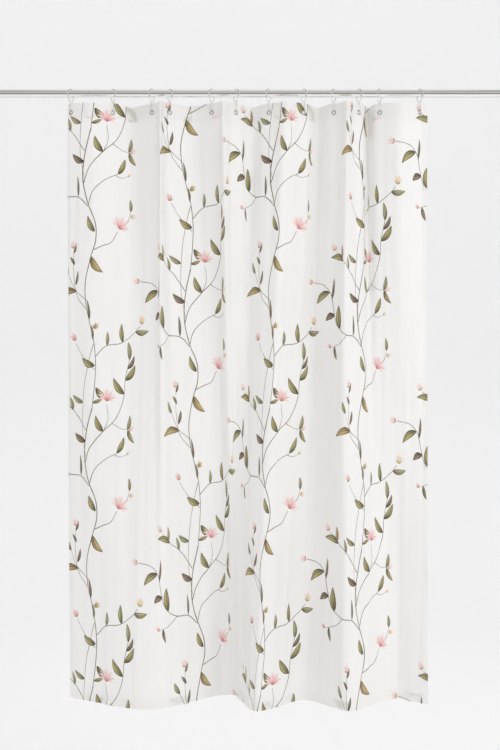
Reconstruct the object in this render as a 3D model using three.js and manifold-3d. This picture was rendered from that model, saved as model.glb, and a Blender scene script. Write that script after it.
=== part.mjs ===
// Shower curtain hanging by gourd-shaped rings from a twist-lock tension rod.
// Units are millimetres. X runs along the rod, -Y faces the room and +Z is up.
// The origin is the centre of the left foot's wall face, on the rod's axis.
import * as THREE from 'three';
import { mergeVertices } from 'three/addons/utils/BufferGeometryUtils.js';
import Module from 'manifold-3d';

const wasm = await Module();
wasm.setup();

// ---------------------------------------------------------------- driving dimensions

const GAP = 0.3; // air left between pieces that touch

const SPAN = 1800; // wall to wall
const TUBE_RADIUS = 12;
const INNER_TUBE_RADIUS = 10.7;
const TUBE_WALL = 1;
const TUBE_SIDES = 40;
const OUTER_TUBE_END = 1740;
const INNER_TUBE_START = 1180;

const PAD_RADIUS = 19;
const PAD_DEPTH = 5;
const PAD_BEVEL = 1;
const PAD_SIDES = 32;
const CUP_RADIUS = 16.5;
const CUP_LENGTH = 38;
const CUP_FLOOR = 5;
const CUP_RIM = 8; // length of the cup's widest part
const CUP_WALL = 1.6; // at the cup's mouth

const LOCK_OFFSET = 0.5; // eccentricity of the twist lock
const LOCK_CAM_LENGTH = 14;
const LOCK_CAM_RADIUS = 10.5;
const LOCK_CAM_FREE = 2; // end play of the cam between the plug and the pin's end
const LOCK_PIN_RADIUS = 5;
const LOCK_PIN_TIP = 3; // how far the pin passes the cam
const LOCK_PIN_ROOT = 1; // how far the pin is set into the plug
const LOCK_PLUG_LENGTH = 22;
const LOCK_SIDES = 24;

const CLOTH_WIDTH = 1800; // flat
const CLOTH_DROP = 2000;
const CLOTH_THICKNESS = 0.4;
const CLOTH_TOP = -32; // height of the top edge, measured from the rod's axis
const TOP_HEM = 53;
const BOTTOM_HEM = 30;
const SIDE_HEM = 15;
const DROP_STEPS = 6; // rows of facets between the hems
const FOLD_STEPS = 4; // facets across the cloth between two eyelets
const FOLD_DEPTH = 0.43; // of a heading fold, as a share of the spare cloth in it

const EYELET_EDGE = 25; // first and last eyelet, in from the side edges
const EYELET_DROP = 31; // eyelet centre below the top edge
const EYELET_SIDES = 12;
const EYELET_FLAT = 10; // half width of the flat patch around an eyelet
const CLOTH_HOLE = 5.7;
const CLOTH_HOLE_SIDES = 12;
const PUNCH_REACH = 6; // how far the punch passes the cloth on each side

// Sections of the eyelet's two pieces: radius, height in front of the cloth.
const GROMMET = [
  [4.8, 1.1], [4.8, -2.8], [6, -2.8], [6.2, -2.3], [5.2, -2.3], [5.2, 0.5], [8.5, 0.5], [7.6, 1.4], [5.2, 1.7],
];
const WASHER = [[5.6, -1.2], [5.6, -2], [8.3, -2], [8.5, -1.2]];

const WIRE_RADIUS = 1.2;
const WIRE_SIDES = 6;
const WIRE_STEPS = 30;
const HOOK_YAW = THREE.MathUtils.degToRad(34);

// Half of a ring's outline from the top down: distance from the middle, height.
const RING_TOP = [0, 14.3];
const RING_HALF = [
  [12.4, 10.8], [16.8, 0], [13.2, -13.5], [6, -25], [4.1, -32], [5.6, -41], [7.4, -50], [5.3, -58.4],
];
const RING_BOTTOM = [0, -61.6];
const RING_NECK = 4; // the outline's point where the wire's two ends meet at the latch
const LATCH_GAP = 1.6;

// Where each ring hangs along the rod, as the cloth was left after being pulled out by hand.
const HOOK_X = [303, 443, 573, 633, 772, 853, 962, 1079, 1179, 1263, 1332, 1465];
const FIRST_EDGE_X = 291;
const LAST_EDGE_X = 1493;
const EDGE_TURN = 14; // the side edges turn back by this much

// The bottom hem falls in fewer, wider folds than the heading: flat place, x, y.
const HEM_FOLDS = [
  [0, 289, 80], [350, 575, -88], [700, 825, 119], [1007, 923, -109],
  [1225, 1085, 40], [1428, 1225, -107], [1650, 1380, 54], [1800, 1490, -18],
];

const COLOURS = {
  steel: { color: 0xb9b4ad, roughness: 0.3, metalness: 1 },
  wire: { color: 0xd8d6d2, roughness: 0.2, metalness: 1 },
  plastic: { color: 0xe9e7e2, roughness: 0.45, metalness: 0 },
  lock: { color: 0x8d8f92, roughness: 0.6, metalness: 0 },
  rubber: { color: 0xdedbd4, roughness: 0.9, metalness: 0 },
  cloth: { color: 0xf2f0ec, roughness: 0.85, metalness: 0 },
};

// ---------------------------------------------------------------- helpers

const curtain = new THREE.Group();

function add(name, geometry, look) {
  const mesh = new THREE.Mesh(geometry, new THREE.MeshStandardMaterial(COLOURS[look]));
  mesh.name = name;
  curtain.add(mesh);
  return mesh;
}

// Turns a closed outline of [radius, height] points about Y.
function turned(outline, sides) {
  const points = [...outline, outline[0]].map(([r, h]) => new THREE.Vector2(r, h));
  return new THREE.LatheGeometry(points, sides);
}

// A turned piece lying along the rod: outline points are [radius, x].
function alongRod(name, outline, look, sides = TUBE_SIDES) {
  const mesh = add(name, turned(outline, sides), look);
  mesh.rotation.z = -Math.PI / 2;
  return mesh;
}

function toSolid(geometry) {
  const bare = geometry.clone();
  bare.deleteAttribute('normal');
  bare.deleteAttribute('uv');
  const merged = mergeVertices(bare, 1e-4);
  const vertProperties = Float32Array.from(merged.attributes.position.array);
  const triVerts = Uint32Array.from(merged.index.array);
  return new wasm.Manifold(new wasm.Mesh({ numProp: 3, vertProperties, triVerts }));
}

function fromSolid(solid) {
  const { vertProperties, triVerts } = solid.getMesh();
  const geometry = new THREE.BufferGeometry();
  geometry.setAttribute('position', new THREE.BufferAttribute(vertProperties, 3));
  geometry.setIndex(new THREE.BufferAttribute(triVerts, 1));
  return geometry;
}

// ---------------------------------------------------------------- tension rod

function tubeOutline(radius, from, to) {
  return [[radius - TUBE_WALL, from], [radius, from], [radius, to], [radius - TUBE_WALL, to]];
}

// The cup and pad of one foot. side is 1 for the left foot and -1 for the right.
function foot(label, wallX, side, tubeRadius) {
  const at = (distance) => wallX + side * distance;
  const ordered = (outline) => (side > 0 ? outline : outline.reverse());
  const bore = tubeRadius + GAP;
  const floor = PAD_DEPTH + GAP;
  alongRod(`${label}_pad`, ordered([
    [0, at(0)], [PAD_RADIUS - PAD_BEVEL, at(0)], [PAD_RADIUS, at(PAD_BEVEL)],
    [PAD_RADIUS - PAD_BEVEL, at(PAD_DEPTH)], [0, at(PAD_DEPTH)],
  ]), 'rubber', PAD_SIDES);
  alongRod(`${label}_cup`, ordered([
    [0, at(floor)], [CUP_RADIUS, at(floor)], [CUP_RADIUS, at(floor + CUP_RIM)],
    [bore + CUP_WALL, at(CUP_LENGTH)], [bore, at(CUP_LENGTH)], [bore, at(floor + CUP_FLOOR)],
    [0, at(floor + CUP_FLOOR)],
  ]), 'plastic');
}

function rod() {
  const tubeEnd = PAD_DEPTH + CUP_FLOOR + 2 * GAP;
  alongRod('outer_tube', tubeOutline(TUBE_RADIUS, tubeEnd, OUTER_TUBE_END), 'steel');
  alongRod('inner_tube', tubeOutline(INNER_TUBE_RADIUS, INNER_TUBE_START, SPAN - tubeEnd), 'steel');
  foot('left', 0, 1, TUBE_RADIUS);
  foot('right', SPAN, -1, INNER_TUBE_RADIUS);
}

// A solid cylinder about the rod's axis between two places along it.
function lockCylinder(radius, from, to, sides = LOCK_SIDES) {
  return turned([[0, from], [radius, from], [radius, to], [0, to]], sides);
}

// The plug in the inner tube's end carries an off-centre pin, and the cam turns on that pin.
function twistLock() {
  const face = INNER_TUBE_START - GAP;
  const camEnd = face - LOCK_CAM_FREE;
  const camStart = camEnd - LOCK_CAM_LENGTH;
  const pinStart = camStart - LOCK_PIN_TIP;
  const plugRadius = INNER_TUBE_RADIUS - TUBE_WALL - GAP;
  const plug = lockCylinder(plugRadius, camEnd + GAP, face + LOCK_PLUG_LENGTH);
  const pin = lockCylinder(LOCK_PIN_RADIUS, pinStart, face + LOCK_PIN_ROOT);
  const bore = lockCylinder(LOCK_PIN_RADIUS + GAP, pinStart, face);
  pin.translate(LOCK_OFFSET, 0, 0);
  bore.translate(LOCK_OFFSET, 0, 0);
  const disc = lockCylinder(LOCK_CAM_RADIUS, camStart, camEnd, TUBE_SIDES);
  const core = add('lock_core', fromSolid(toSolid(plug).add(toSolid(pin))), 'lock');
  const cam = add('lock_cam', fromSolid(toSolid(disc).subtract(toSolid(bore))), 'lock');
  core.rotation.z = -Math.PI / 2;
  cam.rotation.z = -Math.PI / 2;
}

// ---------------------------------------------------------------- how the cloth hangs

const EYELET_PITCH = (CLOTH_WIDTH - 2 * EYELET_EDGE) / (HOOK_X.length - 1);
const eyeletU = (index) => EYELET_EDGE + index * EYELET_PITCH;

// Rings and eyelets face left of the room and right of it by turns: 1 for left, -1 for right.
const turnOf = (index) => (index % 2 ? -1 : 1);

// Fold points of the heading: it waves to the front and back of the rod by turns, and lies
// flat for a short way at each eyelet.
function headingFolds() {
  const folds = [[0, FIRST_EDGE_X, EDGE_TURN]];
  const runX = EYELET_FLAT * Math.cos(HOOK_YAW);
  const runY = EYELET_FLAT * Math.sin(HOOK_YAW);
  HOOK_X.forEach((x, index) => {
    const rise = turnOf(index) * runY;
    folds.push([eyeletU(index) - EYELET_FLAT, x - runX, rise]);
    folds.push([eyeletU(index) + EYELET_FLAT, x + runX, -rise]);
    if (index === HOOK_X.length - 1) return;
    const chord = HOOK_X[index + 1] - x;
    const depth = FOLD_DEPTH * Math.sqrt(EYELET_PITCH ** 2 - chord ** 2);
    folds.push([eyeletU(index + 0.5), x + chord / 2, -turnOf(index) * depth]);
  });
  folds.push([CLOTH_WIDTH, LAST_EDGE_X, EDGE_TURN]);
  return folds;
}

// A smooth curve through fold points, read at flat place u.
function along(folds, u) {
  const last = folds.length - 2;
  let i = folds.findIndex((fold, index) => index <= last && u <= folds[index + 1][0]);
  if (i < 0) i = last;
  const slope = (j, axis) => {
    const before = folds[Math.max(j - 1, 0)];
    const after = folds[Math.min(j + 1, last + 1)];
    return (after[axis] - before[axis]) / (after[0] - before[0]);
  };
  const length = folds[i + 1][0] - folds[i][0];
  const t = (u - folds[i][0]) / length;
  return [1, 2].map((axis) => {
    const flat = (1 + 2 * t) * (1 - t) ** 2 * folds[i][axis] + t * t * (3 - 2 * t) * folds[i + 1][axis];
    const lean = t * (1 - t) ** 2 * slope(i, axis) - t * t * (1 - t) * slope(i + 1, axis);
    return flat + length * lean;
  });
}

const HEADING = headingFolds();

// Where the cloth's middle lies, u across and v down from its flat top-left corner.
function hang(u, v) {
  const share = Math.max(0, v - TOP_HEM) / (CLOTH_DROP - TOP_HEM);
  const top = along(HEADING, u);
  const hem = along(HEM_FOLDS, u);
  return new THREE.Vector2(
    top[0] + (hem[0] - top[0]) * share,
    top[1] + (hem[1] - top[1]) * share,
  );
}

// Flat places of the facets' edges across the cloth.
function clothColumns() {
  const free = EYELET_PITCH - 2 * EYELET_FLAT;
  const columns = [0, SIDE_HEM];
  for (const index of HOOK_X.keys()) {
    const u = eyeletU(index);
    if (index > 0) columns.push(u - EYELET_FLAT);
    for (let step = 0; step < FOLD_STEPS; step += 1) {
      columns.push(u + EYELET_FLAT + (free * step) / FOLD_STEPS);
    }
  }
  const inner = columns.filter((u) => u < CLOTH_WIDTH - SIDE_HEM);
  return [...inner, CLOTH_WIDTH - SIDE_HEM, CLOTH_WIDTH];
}

// Unit normal of the cloth's crease line at one column, lengthened at a corner so that
// layers laid on each other keep their gap. It points to the back.
function backward(columns, index, v) {
  const here = hang(columns[index], v);
  const before = index > 0 ? hang(columns[index - 1], v) : null;
  const after = index < columns.length - 1 ? hang(columns[index + 1], v) : null;
  const first = before ? here.clone().sub(before).normalize() : null;
  const second = after ? after.clone().sub(here).normalize() : null;
  const run = (first || second).clone().add(second || first).normalize();
  const stretch = 1 / Math.max(0.5, run.dot(first || second));
  return new THREE.Vector2(-run.y, run.x).multiplyScalar(stretch);
}

// Faces of a closed layer: its front, its back, its two sides, its top and its bottom.
function layerFaces(wide, tall) {
  const faces = [];
  const back = wide * tall;
  const quad = (a, b, c, d) => faces.push(a, b, c, a, c, d);
  for (let row = 0; row < tall - 1; row += 1) {
    for (let column = 0; column < wide - 1; column += 1) {
      const a = row * wide + column;
      quad(a, a + wide, a + wide + 1, a + 1);
      quad(back + a, back + a + 1, back + a + wide + 1, back + a + wide);
    }
    const left = row * wide;
    const right = left + wide - 1;
    quad(left, back + left, back + left + wide, left + wide);
    quad(right, right + wide, back + right + wide, back + right);
  }
  for (let column = 0; column < wide - 1; column += 1) {
    const low = (tall - 1) * wide + column;
    quad(column, column + 1, back + column + 1, back + column);
    quad(low, back + low, back + low + 1, low + 1);
  }
  return faces;
}

// A closed layer of cloth between two depths behind the middle surface.
function layer(columns, rows, front, back) {
  const corners = [];
  for (const depth of [front, back]) {
    for (const v of rows) {
      columns.forEach((u, index) => {
        const place = hang(u, v).addScaledVector(backward(columns, index, v), depth);
        corners.push(place.x, place.y, CLOTH_TOP - v);
      });
    }
  }
  const geometry = new THREE.BufferGeometry();
  geometry.setAttribute('position', new THREE.Float32BufferAttribute(corners, 3));
  geometry.setIndex(layerFaces(columns.length, rows.length));
  return geometry;
}

// The flat patch at one eyelet: its centre, and the direction that it faces.
function eyeletPlace(index) {
  const left = hang(eyeletU(index) - EYELET_FLAT, 0);
  const right = hang(eyeletU(index) + EYELET_FLAT, 0);
  const run = right.clone().sub(left).normalize();
  const middle = left.add(right).multiplyScalar(0.5);
  return {
    centre: new THREE.Vector3(middle.x, middle.y, CLOTH_TOP - EYELET_DROP),
    faces: new THREE.Vector3(run.y, -run.x, 0),
  };
}

function placeAtEyelet(object, index) {
  const { centre, faces } = eyeletPlace(index);
  object.position.copy(centre);
  object.quaternion.setFromUnitVectors(new THREE.Vector3(0, 1, 0), faces);
}

// Cuts the eyelet holes out of a layer.
function punched(geometry) {
  const outline = [
    [0, -PUNCH_REACH], [CLOTH_HOLE, -PUNCH_REACH], [CLOTH_HOLE, PUNCH_REACH], [0, PUNCH_REACH],
  ];
  let solid = toSolid(geometry);
  for (const index of HOOK_X.keys()) {
    const punch = new THREE.Mesh(turned(outline, CLOTH_HOLE_SIDES));
    placeAtEyelet(punch, index);
    punch.updateMatrix();
    punch.geometry.applyMatrix4(punch.matrix);
    solid = solid.subtract(toSolid(punch.geometry));
  }
  return fromSolid(solid);
}

function cloth() {
  const columns = clothColumns();
  const half = CLOTH_THICKNESS / 2;
  const flapFront = half + GAP;
  const flapBack = flapFront + CLOTH_THICKNESS;
  const hemStart = CLOTH_DROP - BOTTOM_HEM;
  const bodyRows = [];
  for (let step = 0; step <= DROP_STEPS; step += 1) {
    bodyRows.push(TOP_HEM + ((hemStart - TOP_HEM) * step) / DROP_STEPS);
  }
  add('curtain_panel', punched(layer(columns, [0, ...bodyRows, CLOTH_DROP], -half, half)), 'cloth');
  add('top_hem', punched(layer(columns, [0, TOP_HEM], flapFront, flapBack)), 'cloth');
  add('bottom_hem', layer(columns, [hemStart, CLOTH_DROP], flapFront, flapBack), 'cloth');
  const sideRows = [TOP_HEM + GAP, ...bodyRows.slice(1, -1), hemStart - GAP];
  add('left_side_hem', layer(columns.slice(0, 2), sideRows, flapFront, flapBack), 'cloth');
  add('right_side_hem', layer(columns.slice(-2), sideRows, flapFront, flapBack), 'cloth');
}

// ---------------------------------------------------------------- eyelets and rings

const label = (index) => String(index + 1).padStart(2, '0');

// A grommet pressed through both layers from the front, and its washer behind them.
function eyelet(index) {
  const front = turned(GROMMET, EYELET_SIDES);
  const washer = turned(WASHER, EYELET_SIDES);
  placeAtEyelet(add(`eyelet_front_${label(index)}`, front, 'wire'), index);
  placeAtEyelet(add(`eyelet_washer_${label(index)}`, washer, 'wire'), index);
}

// The wire's route: from the latch over the rod, down through the eyelet and back to the latch.
function ringRoute() {
  const near = RING_HALF.map(([h, z]) => new THREE.Vector3(0, -h, z));
  const far = RING_HALF.map(([h, z]) => new THREE.Vector3(0, h, z));
  const top = new THREE.Vector3(0, ...RING_TOP);
  const bottom = new THREE.Vector3(0, ...RING_BOTTOM);
  const latch = near[RING_NECK].clone();
  latch.z -= LATCH_GAP;
  return [
    ...near.slice(0, RING_NECK + 1).reverse(), top, ...far, bottom,
    ...near.slice(RING_NECK + 1).reverse(), latch,
  ];
}

function wireSection() {
  const corners = [];
  for (let corner = 0; corner < WIRE_SIDES; corner += 1) {
    const angle = (2 * Math.PI * corner) / WIRE_SIDES;
    corners.push(new THREE.Vector2(WIRE_RADIUS * Math.cos(angle), WIRE_RADIUS * Math.sin(angle)));
  }
  return new THREE.Shape(corners);
}

function ring(index) {
  const extrudePath = new THREE.CatmullRomCurve3(ringRoute(), false, 'centripetal');
  const wire = new THREE.ExtrudeGeometry(wireSection(), { steps: WIRE_STEPS, extrudePath });
  const mesh = add(`hook_${label(index)}`, wire, 'wire');
  mesh.position.x = HOOK_X[index];
  mesh.rotation.z = -turnOf(index) * HOOK_YAW;
}

// ---------------------------------------------------------------- assembly

rod();
twistLock();
cloth();
for (const index of HOOK_X.keys()) {
  eyelet(index);
  ring(index);
}

export default curtain;
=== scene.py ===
"""Shower curtain on a tension rod: the looks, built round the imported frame. Metres, +Z up."""
import math

import bmesh
import bpy
import numpy as np
from mathutils import Matrix, Vector
from mathutils.geometry import delaunay_2d_cdt


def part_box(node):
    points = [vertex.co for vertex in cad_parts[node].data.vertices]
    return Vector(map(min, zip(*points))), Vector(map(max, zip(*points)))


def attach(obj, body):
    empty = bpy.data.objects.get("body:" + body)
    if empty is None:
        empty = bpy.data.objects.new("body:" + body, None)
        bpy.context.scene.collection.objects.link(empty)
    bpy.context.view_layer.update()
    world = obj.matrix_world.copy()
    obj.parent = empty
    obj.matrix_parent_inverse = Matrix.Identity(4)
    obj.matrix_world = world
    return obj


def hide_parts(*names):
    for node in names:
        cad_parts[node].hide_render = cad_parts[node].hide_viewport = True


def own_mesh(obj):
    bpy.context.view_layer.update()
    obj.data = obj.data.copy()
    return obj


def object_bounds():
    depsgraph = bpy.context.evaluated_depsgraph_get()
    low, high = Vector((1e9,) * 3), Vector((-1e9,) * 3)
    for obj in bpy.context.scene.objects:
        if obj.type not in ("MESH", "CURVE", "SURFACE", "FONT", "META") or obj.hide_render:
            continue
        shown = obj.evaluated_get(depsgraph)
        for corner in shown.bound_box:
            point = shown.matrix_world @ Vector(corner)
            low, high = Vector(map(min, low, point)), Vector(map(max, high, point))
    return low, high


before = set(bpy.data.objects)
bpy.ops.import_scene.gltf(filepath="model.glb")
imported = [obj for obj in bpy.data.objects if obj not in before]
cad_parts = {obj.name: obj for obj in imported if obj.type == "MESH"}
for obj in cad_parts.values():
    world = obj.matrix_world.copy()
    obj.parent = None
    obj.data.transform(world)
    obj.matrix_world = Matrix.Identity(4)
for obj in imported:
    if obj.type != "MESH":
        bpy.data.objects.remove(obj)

CAD_BOX = [list(corner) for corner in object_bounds()]
MIDDLE_X = (CAD_BOX[0][0] + CAD_BOX[1][0]) / 2
MM = 0.001

# ------------------------------------------------------------------ dimensions

HOOKS = [f"{n:02d}" for n in range(1, 13)]
CLOTH_WIDTH = 1.8
CLOTH_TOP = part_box("curtain_panel")[1][2]
CLOTH_DROP = CLOTH_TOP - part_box("curtain_panel")[0][2]
TOP_HEM = 0.053
BOTTOM_HEM = 0.030
SIDE_HEM = 0.015
EYELET_EDGE = 0.025
EYELET_DROP = 0.031
EYELET_FLAT = 0.010  # half width of the flat patch around an eyelet
FOLD_DEPTH = 0.43  # of the slack between two eyelets
HOLE_WIDE = 0.0079  # half width of the punched hole: room for the eyelet when the cloth gathers
HOLE_TALL = 0.0053
HOLE_SIDES = 24
PITCH = (CLOTH_WIDTH - 2 * EYELET_EDGE) / (len(HOOKS) - 1)
HOOK_YAW = math.radians(34)
FLAP_DEPTH = 0.0007  # how far a turned-over hem lies behind the panel
HEM_LINES = (TOP_HEM, CLOTH_DROP - BOTTOM_HEM)

# Spacing of the cloth mesh, across and down.
GRID_U = 0.0065
GRID_V = 0.017

# Along the rod, as the cloth was left after being pulled out by hand.
HOOK_X = [sum(corner[0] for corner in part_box("hook_" + n)) / 2 for n in HOOKS]
LEFT_X = 0.291
RIGHT_X = 1.493
EDGE_TURN = 0.014  # the side edges turn back by this much

# Folds of the bottom hem: flat place, x, y.
HEM_FOLDS = np.array([
    (0.000, 0.289, 0.080), (0.350, 0.575, -0.088), (0.700, 0.825, 0.119), (1.007, 0.923, -0.109),
    (1.225, 1.085, 0.040), (1.428, 1.225, -0.107), (1.650, 1.380, 0.054), (1.800, 1.490, -0.018),
])


def turn_of(index):
    """Rings and eyelets face left and right by turns."""
    return -1 if index % 2 else 1


def eyelet_u(index):
    return EYELET_EDGE + index * PITCH


def angles(count):
    """Equal steps round a circle."""
    return [2 * math.pi * k / count for k in range(count)]


# ------------------------------------------------------------------ how the cloth hangs

def fold_slopes(folds, known=()):
    """Slopes at the folds, each from its neighbours unless it is known."""
    reach = np.vstack([folds[:1], folds, folds[-1:]])
    slopes = (reach[2:, 1:] - reach[:-2, 1:]) / (reach[2:, :1] - reach[:-2, :1])
    for place, slope in enumerate(known):
        if slope is not None:
            slopes[place] = slope
    return slopes


def heading_folds():
    """Folds of the heading and their slopes, which keep the cloth flat at each eyelet."""
    folds = [(0.0, LEFT_X, EDGE_TURN)]
    slopes = [None]
    run_x, run_y = math.cos(HOOK_YAW), math.sin(HOOK_YAW)
    for index, x in enumerate(HOOK_X):
        side = turn_of(index)
        for end in (-1, 1):
            reach = end * EYELET_FLAT
            folds.append((eyelet_u(index) + reach, x + reach * run_x, -side * reach * run_y))
            slopes.append((run_x, -side * run_y))
        if index < len(HOOK_X) - 1:
            chord = HOOK_X[index + 1] - x
            depth = FOLD_DEPTH * math.sqrt(PITCH ** 2 - chord ** 2)
            folds.append((eyelet_u(index + 0.5), x + chord / 2, -side * depth))
            slopes.append(None)
    folds.append((CLOTH_WIDTH, RIGHT_X, EDGE_TURN))
    folds = np.array(folds)
    return folds, fold_slopes(folds, slopes)


def along(folds, slopes, u):
    """A smooth curve through the folds, read at the flat places u."""
    i = np.clip(np.searchsorted(folds[:, 0], u, side="right") - 1, 0, len(folds) - 2)
    length = (folds[i + 1, 0] - folds[i, 0])[:, None]
    t = ((u - folds[i, 0]) / length[:, 0])[:, None]
    here, there = folds[i, 1:], folds[i + 1, 1:]
    flat = (1 + 2 * t) * (1 - t) ** 2 * here + t * t * (3 - 2 * t) * there
    lean = t * (1 - t) ** 2 * slopes[i] - t * t * (1 - t) * slopes[i + 1]
    return flat + length * lean


HEADING, HEADING_SLOPES = heading_folds()
HEM_SLOPES = fold_slopes(HEM_FOLDS)

# Soft wrinkles that a hanging cloth keeps: depth, radians per metre across and down, start.
CREASES = (
    (0.0011, 61.0, 1.3, 0.4), (0.0008, 97.0, -2.1, 2.0), (0.0006, 143.0, 3.4, 4.1),
    (0.0009, 41.0, -4.0, 1.1), (0.0004, 210.0, 5.5, 0.2),
)
CREASES_GROW = 0.12  # over this much drop below the heading
SAG = 0.0045  # droop of the heading between two eyelets
SAG_FADES = 0.25  # with this much drop
NORMAL_STEP = 0.0015


def creases(u, v):
    depth = sum(size * np.sin(across * u + down * v + start) for size, across, down, start in CREASES)
    return depth * np.clip((v - TOP_HEM) / CREASES_GROW, 0, 1)


def heading_sag(u, v):
    """The heading droops a little between the eyelets."""
    place = (u - EYELET_EDGE) / PITCH
    droop = np.sin(math.pi * place) ** 2 * (place > 0) * (place < len(HOOK_X) - 1)
    return SAG * droop * np.exp(-v / SAG_FADES)


def hang(u, v):
    """Where the cloth's middle lies, u across and v down from its flat top-left corner."""
    u, v = np.asarray(u, float), np.asarray(v, float)
    share = np.clip((v - TOP_HEM) / (CLOTH_DROP - TOP_HEM), 0, 1)[:, None]
    heading = along(HEADING, HEADING_SLOPES, u)
    hem = along(HEM_FOLDS, HEM_SLOPES, u)
    plan = heading * (1 - share) + hem * share
    height = CLOTH_TOP - v - heading_sag(u, v) * (1 - v / CLOTH_DROP)
    return np.column_stack([plan, height])


def forward(u, v):
    """Unit normals of the hanging cloth, towards the room."""
    right, left = np.minimum(u + NORMAL_STEP, CLOTH_WIDTH), np.maximum(u - NORMAL_STEP, 0)
    low, high = np.minimum(v + NORMAL_STEP, CLOTH_DROP), np.maximum(v - NORMAL_STEP, 0)
    across = hang(right, v) - hang(left, v)
    down = hang(u, low) - hang(u, high)
    normal = np.cross(down, across)
    return normal / np.linalg.norm(normal, axis=1)[:, None]


def cloth_points(u, v, behind=0.0):
    """Points of the cloth's surface, or of a layer that lies behind it."""
    u, v = np.asarray(u, float), np.asarray(v, float)
    return hang(u, v) + forward(u, v) * (creases(u, v) - behind)[:, None]


# ------------------------------------------------------------------ the print, drawn flat

# The vines stand side by side, every other one lower by half a repeat.
DROP_REPEAT = 0.93
VINE_SPACING = 0.46
FIRST_VINE = 0.095
FIRST_ROW = 0.098
VINE_REACH = 0.3  # how far a vine may stand above its own origin
LEAF_SCALE = 1.05
STEM_SCALE = 1.15

# Each ink as its light and its dark tone.
OLIVE = ((0.58, 0.52, 0.255), (0.060, 0.052, 0.030))
SAGE = ((0.57, 0.53, 0.310), (0.095, 0.088, 0.054))
OCHRE = ((0.70, 0.54, 0.265), (0.115, 0.084, 0.044))
UMBER = ((0.40, 0.31, 0.210), (0.050, 0.040, 0.032))
STEM = ((0.29, 0.245, 0.175), (0.120, 0.100, 0.072))
TWIG = ((0.38, 0.335, 0.270), (0.170, 0.145, 0.112))
PINK = ((0.90, 0.66, 0.630), (0.680, 0.190, 0.220))
BLUSH = ((0.90, 0.77, 0.745), (0.830, 0.450, 0.460))
PEACH = ((0.90, 0.74, 0.560), (0.700, 0.520, 0.320))
HEART = ((0.60, 0.10, 0.110), (0.360, 0.050, 0.070))

# Stems of one vine in millimetres, x to the right of its axis and y down: width, inks, points.
STEMS = [
    (3.6, STEM, [(10, -12), (-16, 80), (-22, 160), (-4, 235), (24, 300), (26, 360), (6, 420), (-14, 500),
                 (-12, 570), (4, 640), (18, 700), (24, 770), (20, 840), (10, 918)]),
    (2.2, TWIG, [(16, 705), (-2, 765), (-20, 840), (-30, 930), (-30, 1010), (-16, 1085)]),
    (2.8, STEM, [(-20, 170), (2, 118), (52, 66), (104, 22), (134, -42), (142, -110), (158, -172)]),
    (2.2, TWIG, [(54, 64), (72, 24), (66, -26)]),
    (2.0, TWIG, [(88, 38), (124, 56), (152, 60)]),
    (2.6, STEM, [(-2, 244), (16, 196), (58, 160), (108, 138)]),
    (1.8, TWIG, [(96, 142), (122, 150), (148, 142)]),
    (2.8, STEM, [(-2, 248), (-40, 216), (-92, 210), (-140, 178), (-160, 124), (-172, 74), (-206, 42),
                 (-258, 32)]),
    (2.0, TWIG, [(-84, 210), (-118, 236), (-162, 252)]),
    (2.8, STEM, [(18, 392), (52, 378), (84, 366), (108, 330)]),
    (2.0, TWIG, [(126, 312), (150, 292), (160, 262)]),
    (2.0, TWIG, [(-12, 588), (-52, 540), (-64, 468), (-62, 392)]),
    (2.2, TWIG, [(-10, 560), (-58, 522), (-84, 470)]),
    (2.6, STEM, [(22, 748), (64, 712), (124, 702), (178, 668), (200, 646)]),
    (2.0, TWIG, [(20, 790), (-30, 742), (-58, 700)]),
    (2.4, STEM, [(-16, 62), (-62, 2), (-112, -34), (-152, -66)]),
]

# Leaves: foot x, y, direction in degrees anticlockwise from the right, length, width, bend, inks.
LEAVES = [
    (142, -104, 52, 62, 22, 0.10, OLIVE), (136, -58, 128, 66, 23, -0.10, OLIVE),
    (158, -172, 96, 58, 17, 0.05, SAGE), (150, -142, 58, 50, 15, 0.12, UMBER),
    (52, 66, 118, 58, 22, -0.12, OLIVE), (150, 60, 78, 46, 15, 0.08, SAGE),
    (152, 60, -58, 50, 16, 0.10, OLIVE), (108, 138, 62, 58, 19, 0.08, OLIVE),
    (-126, 190, 96, 74, 25, -0.05, OLIVE), (-154, 144, 206, 40, 22, 0.15, UMBER),
    (-168, 92, 84, 68, 10, 0.03, UMBER), (-178, 66, 214, 66, 24, 0.12, OLIVE),
    (-150, 248, -76, 44, 12, 0.06, UMBER), (-40, 214, 92, 66, 9, 0.02, UMBER),
    (22, 332, 116, 56, 20, -0.10, OLIVE), (8, 414, -50, 66, 24, 0.14, OCHRE),
    (160, 262, 94, 40, 13, 0.04, SAGE), (-62, 402, 74, 34, 9, 0.05, UMBER),
    (-60, 440, 122, 30, 10, 0.05, UMBER), (-56, 508, 76, 46, 11, 0.04, UMBER),
    (-52, 528, 192, 82, 24, 0.12, OCHRE), (-84, 470, 116, 42, 15, -0.08, SAGE),
    (2, 622, 98, 62, 9, 0.02, UMBER), (68, 710, 88, 44, 13, 0.04, SAGE),
    (130, 700, 94, 60, 17, -0.05, OLIVE), (182, 664, 2, 54, 19, 0.10, SAGE),
    (20, 778, 152, 54, 23, -0.10, OLIVE), (14, 690, 96, 46, 9, 0.03, UMBER),
    (-72, -4, 104, 44, 13, 0.06, SAGE), (-112, -34, 168, 62, 21, 0.12, OLIVE),
    (-120, -38, 92, 48, 13, 0.05, OCHRE), (-18, 100, 148, 50, 21, -0.12, UMBER),
    (24, 850, -38, 60, 22, 0.12, OLIVE), (-28, 900, 150, 48, 17, -0.10, SAGE),
    (12, 900, 20, 40, 12, 0.05, OLIVE),
]

# Flowers: x, y, facing in degrees, size.
FLOWERS = [(66, -34, 84, 42), (112, 322, 62, 44)]

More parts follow.
